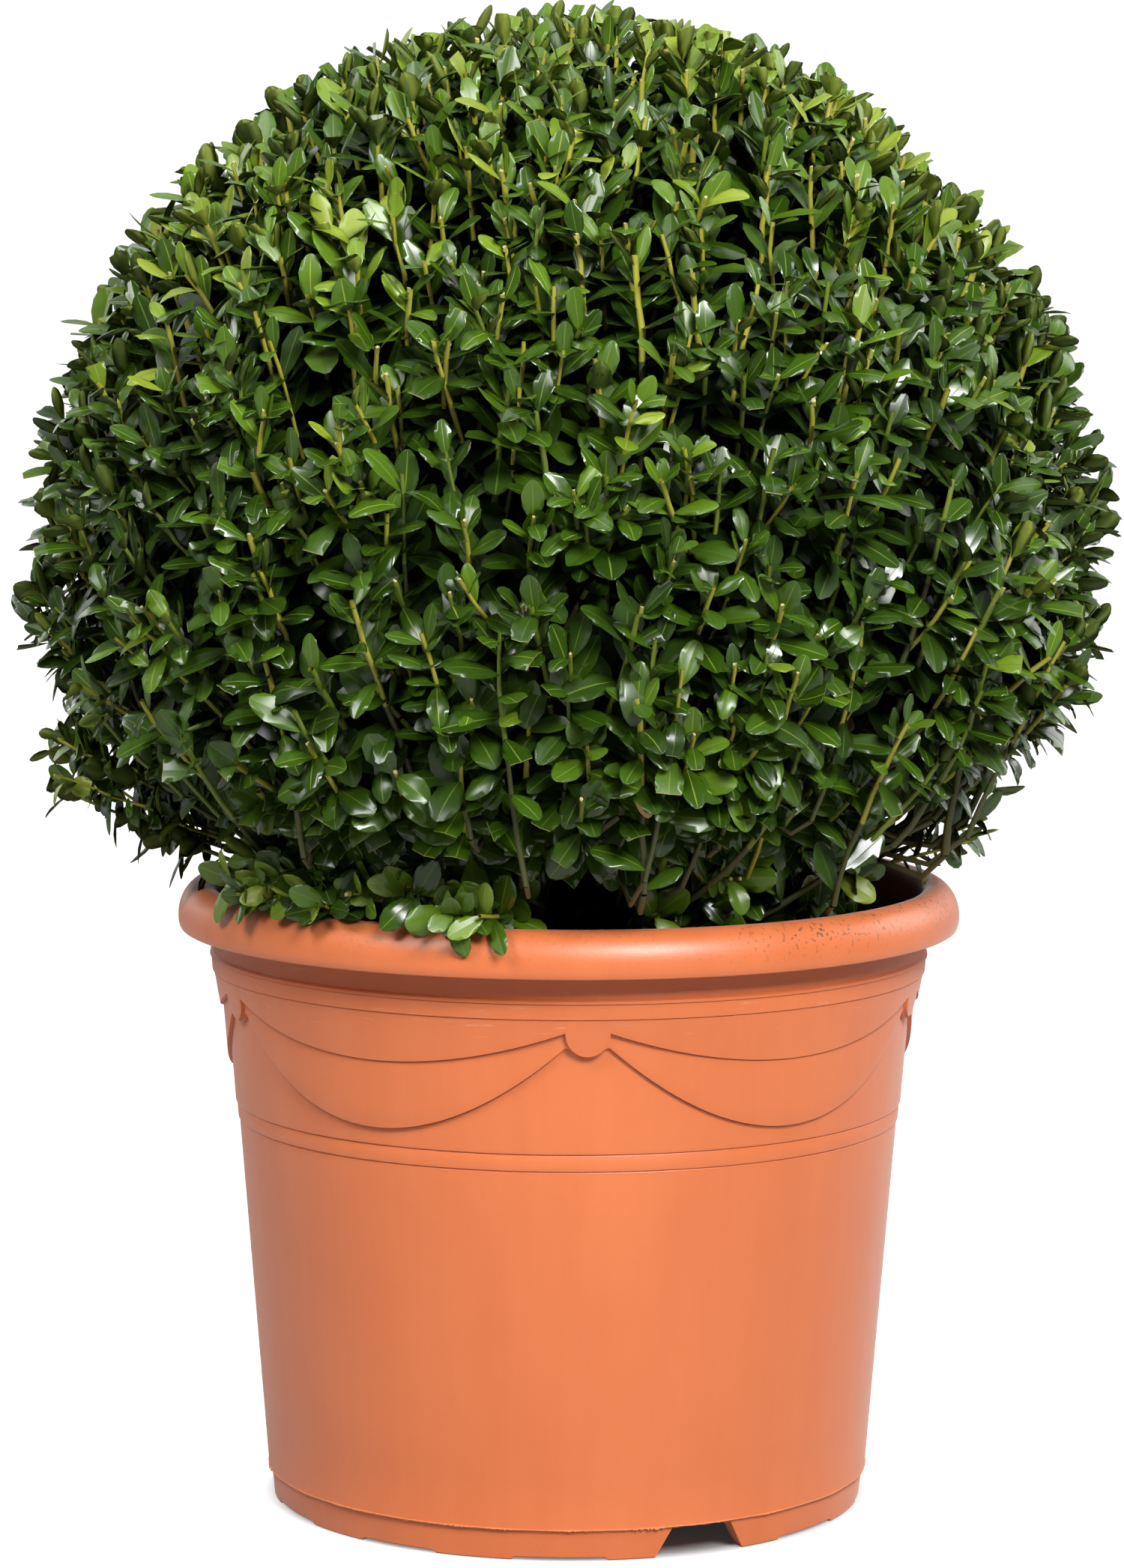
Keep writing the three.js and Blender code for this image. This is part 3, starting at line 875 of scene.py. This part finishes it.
class Shoots(Table):
    """One leafy shoot for each row: its tip, the way it heads, its bow, length and leaves."""

    def point(self, depth):
        """Where each shoot is at a depth below its tip."""
        bow = self.sweep * (0.5 * depth**2)[..., None]
        return self.tip - self.heading * depth[..., None] - bow

    def direction(self, depth):
        return unit(self.heading + self.sweep * depth[..., None])

    def paths(self, depths):
        """The points of every shoot at its own row of depths."""
        return np.stack([self.point(depth) for depth in depths.T], axis=1)


def ball_shoots(rng):
    """Shoots whose clipped tips lie on the surface of the ball, in loose clumps."""
    directions = spread_directions(BALL_SHOOTS, rng)
    clumps = spread_directions(CLUMPS, rng)
    clump = np.argmax(directions @ clumps.T, axis=1)
    clump_depth = np.abs(rng.normal(0, 5, CLUMPS))[clump]
    clump_youth = rng.normal(0, 0.12, CLUMPS)[clump]
    tips = in_crown(directions)
    height = tips[:, 2]
    low = 1 - smoothstep(*LOW_HEIGHTS, height)
    heading = fan_heading(tips, 0.2 * (1 - low)[:, None])
    chance = np.clip(dot(heading, directions), 0.45, 1) * (1 - 0.3 * low) * (1 - 0.012 * clump_depth)
    loose_side = smoothstep(*LOOSE_SIDE, -tips[:, 0]) * (1 - smoothstep(430, 470, height))
    kept = rng.random(BALL_SHOOTS) < chance * (1 - 0.38 * loose_side)
    kept &= over_underside(tips, -8)
    kept &= ~(on_bare_flank(tips) & (rng.random(BALL_SHOOTS) < FLANK_SHOOT_LOSS))
    columns = (tips, directions, heading, height, low, clump_depth, clump_youth)
    tips, directions, heading, height, low, clump_depth, clump_youth = (c[kept] for c in columns)
    count = len(tips)
    recess = 4 + clump_depth + np.abs(rng.normal(0, 6 + 4 * low, count))
    tips = tips - directions * recess[:, None]
    heading = unit(heading + rng.normal(0, 0.14, (count, 3)))
    outward = across(directions, UP)
    sweep = outward * rng.uniform(-0.0005, 0.0022, count)[:, None]
    sweep += rng.normal(0, 0.0013, (count, 3))
    reach = rng.uniform(88, 118, count) + 35 * low
    sweep += (low / reach)[:, None] * (unit(tips - LOW_CENTRE) - heading)
    youth = 0.16 + 0.40 * smoothstep(520, 740, height) + clump_youth + rng.normal(0, 0.13, count)
    return Shoots(
        tip=tips, heading=heading, sweep=sweep, reach=reach, leafy=reach,
        vigour=rng.uniform(0.86, 1.12, count), girth=1 + 0.12 * low + rng.normal(0, 0.12, count),
        youth=np.clip(youth, 0, 1), roundness=np.clip(low + rng.normal(0.1, 0.18, count), 0, 1),
    )


def low_shoots(rng, count, azimuth, radius, height, lift, reach, leafy, vigour, youth):
    """Shoots of a low spray: ranges of azimuth, radius and height of the tips, and their lift."""
    turn = rng.uniform(*azimuth, count)
    tips = polar(turn, rng.uniform(*radius, count), rng.uniform(*height, count))
    outward = polar(turn + rng.normal(0, 22, count), 1.0, 0.0)
    heading = unit(outward + UP * (lift + rng.normal(0, 0.15, count))[:, None])
    sweep = UP * rng.uniform(-0.004, 0.001, count)[:, None] + rng.normal(0, 0.001, (count, 3))
    return Shoots(
        tip=tips, heading=heading, sweep=sweep,
        reach=np.full(count, float(reach)), leafy=np.full(count, float(leafy)),
        vigour=vigour * rng.uniform(0.85, 1.1, count), girth=rng.uniform(0.8, 1.1, count),
        youth=np.clip(rng.normal(youth, 0.18, count), 0, 1),
        roundness=np.clip(rng.normal(0.7, 0.2, count), 0, 1),
    )


def shoot_leaves(shoots, rng):
    """Opposite pairs of leaves down each shoot, each pair square to the next."""
    count = shoots.count()
    steps = np.linspace(*PAIR_SPACING, MOST_PAIRS) * shoots.vigour[:, None]
    steps = steps * rng.uniform(0.82, 1.18, steps.shape)
    depth = np.cumsum(steps, axis=1) - steps[:, :1] + rng.uniform(0.5, 7, (count, 1))
    there = depth < np.minimum(shoots.reach, shoots.leafy)[:, None]
    there &= rng.random(there.shape) > 0.03 + 0.16 * shoots.roundness[:, None]
    row, order = np.nonzero(there)
    turn = rng.uniform(0, math.pi, count)[row] + order * math.pi / 2
    return joined([side_leaves(shoots.only(row), depth[there], turn + half, rng) for half in (0, math.pi)])


def side_leaves(shoots, depth, turn, rng):
    """A leaf on each of these shoots, at its depth below the tip and its turn about the stem."""
    n = len(depth)
    point = shoots.point(depth)
    stem = shoots.direction(depth)
    roundness = shoots.roundness
    reference = across(SKEW, stem)
    turn = turn + rng.normal(0, 0.18, n)
    radial = reference * np.cos(turn)[:, None] + np.cross(stem, reference) * np.sin(turn)[:, None]
    outside = dot(radial, unit(point - BALL_CENTRE))
    opening = 28 + 26 * smoothstep(0, 45, depth) + 8 * roundness
    opening += np.where(outside > 0, 34 * outside, 10 * outside) + rng.normal(0, 9, n)
    opening = np.radians(opening)[:, None]
    axis = unit(np.cos(opening) * stem + np.sin(opening) * radial + rng.normal(0, 0.10, (n, 3)))
    face = np.sin(opening) * stem - np.cos(opening) * radial
    sky = unit(unit(point - BALL_CENTRE) * 0.6 + UP * 0.4)
    normal = across(face + 0.8 * sky + rng.normal(0, 0.16, (n, 3)), axis)
    grown = smoothstep(0, 22, depth)
    length = (LEAF_LENGTH + LEAF_GROWTH * grown) * shoots.vigour * rng.uniform(0.82, 1.16, n)
    length = length * (1 + 0.07 * roundness)
    width = length * (0.46 + 0.14 * roundness + rng.normal(0, 0.035, n))
    youth = shoots.youth * (1 - 0.6 * smoothstep(8, 60, depth))
    tone = youth * 7.0 + rng.normal(1.5, 1.25, n) + 0.8 * (1 - grown)
    blade = np.clip(np.round(tone), 0, len(BLADES) - 1).astype(int)
    rib = np.clip(np.round(blade / 3.8 + rng.normal(0.0, 0.4, n)), 0, 2).astype(int)
    under = (blade > 4).astype(int)
    blade[(rng.random(n) < DRY_CHANCE) & (depth > 30)] = DRY_SLOT
    return Leaves(
        base=point + radial * 0.9, axis=axis, normal=normal, length=length, width=width,
        fold=rng.uniform(0.05, 0.42, n), curl=rng.uniform(0.05, 0.36, n),
        bend=rng.normal(0.32, 0.38, n) + 0.25 * np.maximum(outside, 0),
        cut=np.ones(n), blade=blade, rib=rib, under=under,
    )


def clip_leaves(leaves, rng):
    """Cuts off what sticks out past the clipped surface, and drops what the cut leaves too short."""
    offset = leaves.base - BALL_CENTRE
    limit = crown_reach(unit(offset)) + np.clip(rng.normal(4.0, 4.0, leaves.count()), -6, 12)
    reach = leaves.axis * leaves.length[:, None]
    a = dot(reach, reach)
    b = 2 * dot(reach, offset)
    c = dot(offset, offset) - limit**2
    crossing = (-b + np.sqrt(np.maximum(b * b - 4 * a * c, 0))) / (2 * a)
    leaves.cut = np.where(crossing < 0.93, np.clip(crossing, 0, 1), 1.0)
    return leaves.only(leaves.cut > 0.35)


def in_pot(points):
    """Whether points lie in or under the pot's rim, or below the soil's top inside it."""
    radius = np.hypot(points[..., 0], points[..., 1])
    in_rim = (radius > RIM_INNER - 1) & (radius < RIM_RADIUS + 1) & (points[..., 2] < POT_TOP + 0.5)
    return in_rim | ((radius < RIM_INNER) & (points[..., 2] < SOIL_TOP))


def runs_into_pot(leaves):
    return in_pot(np.stack([leaves.point(share) for share in (0.0, 0.35, 0.7, 1.0)])).any(axis=0)


def clear_of_pot(leaves):
    """Lays the leaves that would run into the rim along its top, and drops what still would."""
    hits = runs_into_pot(leaves) & (leaves.base[:, 2] > POT_TOP + 1)
    slope = (POT_TOP + 3 - leaves.base[:, 2]) / leaves.length
    laid = unit(leaves.axis * np.array([1, 1, 0]) + UP * np.maximum(slope, -0.8)[:, None])
    leaves.axis = np.where(hits[:, None], laid, leaves.axis)
    leaves.normal = across(leaves.normal + UP * (2.0 * hits)[:, None], leaves.axis)
    return leaves.only(~runs_into_pot(leaves))


def stems_clear(shoots):
    """The shoots whose stems keep out of the pot's rim and of the soil."""
    depths = shoots.reach[:, None] * np.linspace(0, 1, 9)
    return shoots.only(~in_pot(shoots.paths(depths)).any(axis=1))


def out_of_hole(leaves):
    """Keeps the leaves out of the dark hole over the soil at the front, where the stem shows."""
    x, y, z = leaves.point(0.5).T
    return leaves.only(~((x > -14) & (x < 36) & (y < -30) & (z < 343)))


def thin_flank(leaves, rng):
    """Drops most of the leaves on the bare flank."""
    bare = on_bare_flank(leaves.point(0.5) + UP * rng.normal(8, 6, leaves.count())[:, None])
    return leaves.only(~(bare & (rng.random(leaves.count()) < FLANK_LEAF_LOSS)))


def age_and_paint_shade_by_depth(leaves, depth, rng):
    """Gives older, darker leaves to the inside of the crown, and paints shade there: the deeper a leaf,
    the darker its tint and rib, and the deepest get the near-black painted shade.
    """
    fall = 2.6 * smoothstep(6, 42, depth) + rng.normal(0, 0.4, len(depth))
    darker = np.clip(np.round(leaves.blade - fall), 0, len(BLADES) - 1).astype(int)
    leaves.blade = np.where(leaves.blade < FIRST_RIB, darker, leaves.blade)
    leaves.rib = np.where(depth > 20, 0, leaves.rib)
    leaves.blade[rng.random(len(depth)) < smoothstep(24, 60, depth)] = PAINTED_SHADE_SLOT


def inner_leaves(rng, count):
    """Old leaves painted near-black as shade, which close the view through the middle of the crown."""
    base = in_crown(unit(rng.normal(0, 1, (count, 3))), rng.uniform(0.4, 0.74, count))
    base = base[over_underside(base, 22)]
    count = len(base)
    axis = unit(fan_heading(base, 0.3) + rng.normal(0, 0.6, (count, 3)))
    normal = across(unit(base - BALL_CENTRE) + rng.normal(0, 0.4, (count, 3)), axis)
    length = rng.uniform(24, 34, count)
    zero = np.zeros(count)
    return Leaves(
        base=base, axis=axis, normal=normal, length=length, width=length * 0.55,
        fold=zero + 0.2, curl=zero + 0.2, bend=rng.normal(0.3, 0.3, count), cut=np.ones(count),
        blade=np.full(count, PAINTED_SHADE_SLOT), rib=zero.astype(int), under=zero.astype(int),
    )


# ---- stems and twigs ----

BOUGH_AZIMUTHS = (-158, -112, -66, -28, 18, 62, 104, 150)
BOUGH_RADII = (6.0, 5.0, 3.9, 3.2, 2.4)
STEM_RADII = (16.5, 13.0, 11.0, 9.3, 7.0, 5.0, 3.6)
STEM_PLACE = (-10.0, 4.0)
TWIG_LEVELS = (
    # name, count, share of the crown's reach, steps, sides, and first and last radius
    ("limbs", 90, 0.5, 9, 7, (2.6, 1.9)),
    ("twigs", 520, 0.68, 7, 6, (1.9, 1.3)),
)
TWIGLET_RADIUS = 1.4
LOW_MASSES = ("front_left_skirt", "front_right_skirt", "back_skirt", "left_spray", "right_spray")


def tube_mesh(paths, radii, sides, relief=1):
    """Open tubes along paths (many, steps, 3), with radii for each path, each step or both."""
    many, steps, _ = paths.shape
    tangent = unit(np.gradient(paths, axis=1))
    helper = np.where(np.abs(tangent[..., 2:3]) < 0.93, UP, np.array([1.0, 0, 0]))
    one = across(helper, tangent)
    two = np.cross(tangent, one)
    turn = np.arange(sides) * 2 * math.pi / sides
    ring = one[:, :, None] * np.cos(turn)[:, None] + two[:, :, None] * np.sin(turn)[:, None]
    reach = np.broadcast_to(radii[..., None] * relief, (many, steps, sides))
    vertices = paths[:, :, None] + ring * reach[..., None]
    row = np.arange(steps - 1)[:, None] * sides
    column = np.arange(sides)
    after = (column + 1) % sides
    quads = np.stack([row + column, row + after, row + after + sides, row + column + sides], axis=-1)
    return vertices, repeated(quads.reshape(-1, 4), steps * sides, many)


def smooth_path(knots, steps):
    """A smooth curve through knots."""
    knots = np.array(knots, float)
    tangents = np.gradient(knots, axis=0)
    share = np.linspace(0, len(knots) - 1, steps)
    index = np.minimum(share.astype(int), len(knots) - 2)
    t = (share - index)[:, None]
    start = (2 * t**3 - 3 * t**2 + 1) * knots[index] + (t**3 - 2 * t**2 + t) * tangents[index]
    end = (3 * t**2 - 2 * t**3) * knots[index + 1] + (t**3 - t**2) * tangents[index + 1]
    return start + end


def links(parents, start_pull, ends, way, steps):
    """Curves that leave parent wood near each end, and run into the child wood there."""
    start = parents[nearest_behind(ends, way, parents)]
    start_heading = unit(ends - start + way * start_pull)
    span = np.linalg.norm(ends - start, axis=1)[:, None]
    first = start + start_heading * span * 0.3
    second = ends - way * span * 0.4
    t = np.linspace(0, 1, steps)[None, :, None]
    path = (1 - t) ** 3 * start[:, None] + 3 * (1 - t) ** 2 * t * first[:, None]
    return path + 3 * (1 - t) * t**2 * second[:, None] + t**3 * ends[:, None]


def nearest_behind(children, headings, parents):
    """The parent that each child grows from: a near one that lies behind the way it heads."""
    step = children[:, None] - parents[None]
    distance = np.linalg.norm(step, axis=-1) + 1e-6
    ahead = np.einsum("ijk,ik->ij", step, headings) / distance
    return np.argmin(distance * (2.4 - 1.4 * ahead) + 6 * (1 - ahead), axis=1)


def bark_material():
    material = new_material("bark", (0.12, 0.07, 0.035), 0.85)
    nodes = Nodes(material)
    ridges = nodes.noise((420, 420, 90), 4, 0.65)
    tone = nodes.span(ridges, 0.35, 0.68)
    nodes.output("Base Color", nodes.mix(tone, (0.045, 0.026, 0.014), (0.22, 0.14, 0.075)))
    nodes.bump(ridges, 0.8, 0.8)
    return material


def make_bark_limb(name, knots, radii, rng, node, material):
    """A limb with twisting ridges, fine roughness and five swellings in its bark."""
    steps, sides = 70, 22
    path = smooth_path(knots, steps)
    along = np.linspace(0, 1, steps)[:, None]
    around = np.arange(sides) * 2 * math.pi / sides
    length = np.sum(np.linalg.norm(np.diff(path, axis=0), axis=1))
    relief = 1 + 0.07 * np.sin(5 * around + 5 * np.sin(along * length / 26) + rng.uniform(0, 6))
    relief = relief + 0.05 * np.sin(9 * around - along * length / 9 + rng.uniform(0, 6))
    relief = relief + rng.normal(0, 0.035, (steps, sides))
    scar = rng.uniform(0.1, 0.95, 5)
    swelling = np.exp(-((along - scar) * length / 5) ** 2).sum(axis=1)[:, None]
    radius = np.interp(np.linspace(0, len(radii) - 1, steps), np.arange(len(radii)), radii)
    tube = tube_mesh(path[None], radius, sides, relief + 0.16 * swelling)
    make_piece(name, *tube, [material], "bark", node)
    return path


def make_main_wood(rng):
    """The main stem and the eight boughs, grown on into the crown, as rows of points."""
    material = bark_material()
    x, y = STEM_PLACE
    knots = [(x, y, STEM_FOOT - 1), (x, y, STEM_FOOT + 6), (x + 1, y, STEM_FOOT + 30)]
    knots += [(x + 4, y - 3, 366), (x + 7, y - 4, 430), (x + 10, y, 500), (x + 4, y + 6, 570)]
    paths = [make_bark_limb("stem_bark", knots, STEM_RADII, rng, "main_stem", material)]
    for number, azimuth in enumerate(BOUGH_AZIMUTHS):
        second = number % 2
        end = 112 + 16 * second
        knots = [
            (x, y, 305 + 13 * second),
            polar(azimuth, 58, 324 + 4 * second),
            polar(azimuth + 6, end, 375),
            polar(azimuth + 10, end + 34, 435),
            polar(azimuth + 14, end + 48, 505),
        ]
        name, node = f"bough_bark_{number + 1}", f"bough_{number + 1}"
        paths.append(make_bark_limb(name, knots, BOUGH_RADII, rng, node, material))
    return np.stack(paths)


def make_twigs(shoots, rng):
    """Limbs, twigs and twiglets that join the boughs to the foot of every shoot."""
    wood = make_main_wood(rng)
    looks = plain_materials(WOOD_LOOKS, "twig_brown", "twig_olive")
    parents = wood[:, 24::5].reshape(-1, 3)
    for look, (name, count, share, steps, sides, thickness) in zip(looks, TWIG_LEVELS):
        ends = in_crown(spread_directions(count, rng), share)
        ends = ends[over_underside(ends, 8) & ~on_bare_flank(ends)]
        ends = ends + rng.normal(0, 9, ends.shape)
        paths = links(parents, 12, ends, fan_heading(ends, 0.2), steps)
        tubes = tube_mesh(paths, np.linspace(*thickness, steps), sides)
        make_piece(name, *tubes, [look], "bark")
        parents = np.concatenate([paths[:, steps // 2 :].reshape(-1, 3), wood[:, 30::8].reshape(-1, 3)])
    paths = links(parents, 8, shoots.point(shoots.reach), shoots.direction(shoots.reach), 5)
    tubes = tube_mesh(paths, TWIGLET_RADIUS * shoots.girth[:, None], 5)
    make_piece("twiglets", *tubes, looks[1:], "foliage")


def make_shoot_stems(shoots, rng):
    """The uneven stems that carry the leaves: green or yellow, and olive in their lower part."""
    steps, sides, olive = 8, 5, 2
    share = np.linspace(0, 1, steps) ** 1.1
    depth = shoots.reach[:, None] * share
    paths = shoots.paths(depth)
    paths = paths + rng.normal(0, 0.45, paths.shape)
    girth = (shoots.vigour * shoots.girth)[:, None] * rng.uniform(0.9, 1.15, depth.shape)
    radii = (1.15 + 0.45 * share) * girth
    tubes = tube_mesh(paths[:, ::-1], radii[:, ::-1], sides)
    is_yellow = shoots.youth + rng.normal(0, 0.12, shoots.count()) > 0.2
    slots = np.repeat(is_yellow.astype(int), (steps - 1) * sides).reshape(-1, steps - 1, sides)
    slots[:, :3] = olive
    looks = plain_materials(WOOD_LOOKS, "shoot_green", "shoot_yellow", "shoot_olive")
    make_piece("shoot_stems", *tubes, looks, "foliage", *LOW_MASSES, slots=slots)


def make_cut_tips(shoots, rng):
    """Pale cut ends on some shoots, standing a little above their last leaves."""
    chosen = shoots.only(rng.random(shoots.count()) < 0.45)
    count, sides = chosen.count(), 6
    stub = rng.uniform(0.5, 3.5, count)[:, None]
    ends = np.stack([chosen.tip - chosen.heading * 1.5, chosen.tip + chosen.heading * stub], axis=1)
    radius = rng.uniform(0.85, 1.3, count)
    rings, faces = tube_mesh(ends, np.stack([radius, radius * 0.9], axis=1), sides)
    rings[:, 1] += rng.normal(0, 0.5, (count, sides, 1)) * chosen.heading[:, None]
    caps = [repeated([quad], 2 * sides, count) for quad in ([6, 7, 8, 9], [9, 10, 11, 6])]
    every = np.concatenate([faces, *caps])
    looks = plain_materials(WOOD_LOOKS, "cut_bark", "cut_wood")
    slots = np.arange(len(every)) >= len(faces)
    make_piece("cut_tips", rings, every, looks, "foliage", slots=slots, smooth=False)


# ---- build ----

NEAR_DEPTH = 22  # leaves less deep than this in the crown have the most detail
MIDDLE_DEPTH = 52
INNER_LEAVES = 3200


def main():
    make_studio()
    make_pot(np.random.default_rng(11))
    make_soil(np.random.default_rng(12))
    rng = np.random.default_rng(2024)
    ball = stems_clear(ball_shoots(rng))
    low = stems_clear(joined([low_shoots(rng, *spray) for spray in LOW_SHOOTS]))
    low_leaves = out_of_hole(clear_of_pot(shoot_leaves(low, rng)))
    ball_leaves = thin_flank(shoot_leaves(ball, rng), rng)
    leaves = clip_leaves(out_of_hole(clear_of_pot(ball_leaves)), rng)
    depth = depth_in_crown(leaves.point(0.5))
    # older tints and painted shade, darker the deeper a leaf lies in the crown
    age_and_paint_shade_by_depth(leaves, depth, rng)
    near = joined([leaves.only(depth < NEAR_DEPTH), low_leaves])
    middle = leaves.only((depth >= NEAR_DEPTH) & (depth < MIDDLE_DEPTH))
    deep = joined([leaves.only(depth >= MIDDLE_DEPTH), inner_leaves(rng, INNER_LEAVES)])
    materials = plain_materials(LEAF_LOOKS)
    make_leaf_pieces("leaves_outer", near, "near", materials, "foliage_ball")
    make_leaf_pieces("leaves_inner", middle, "middle", materials)
    make_leaf_pieces("leaves_deep", deep, "deep", materials)
    every = joined([ball, low])
    make_twigs(every, rng)
    make_shoot_stems(every, rng)
    make_cut_tips(every, rng)


main()
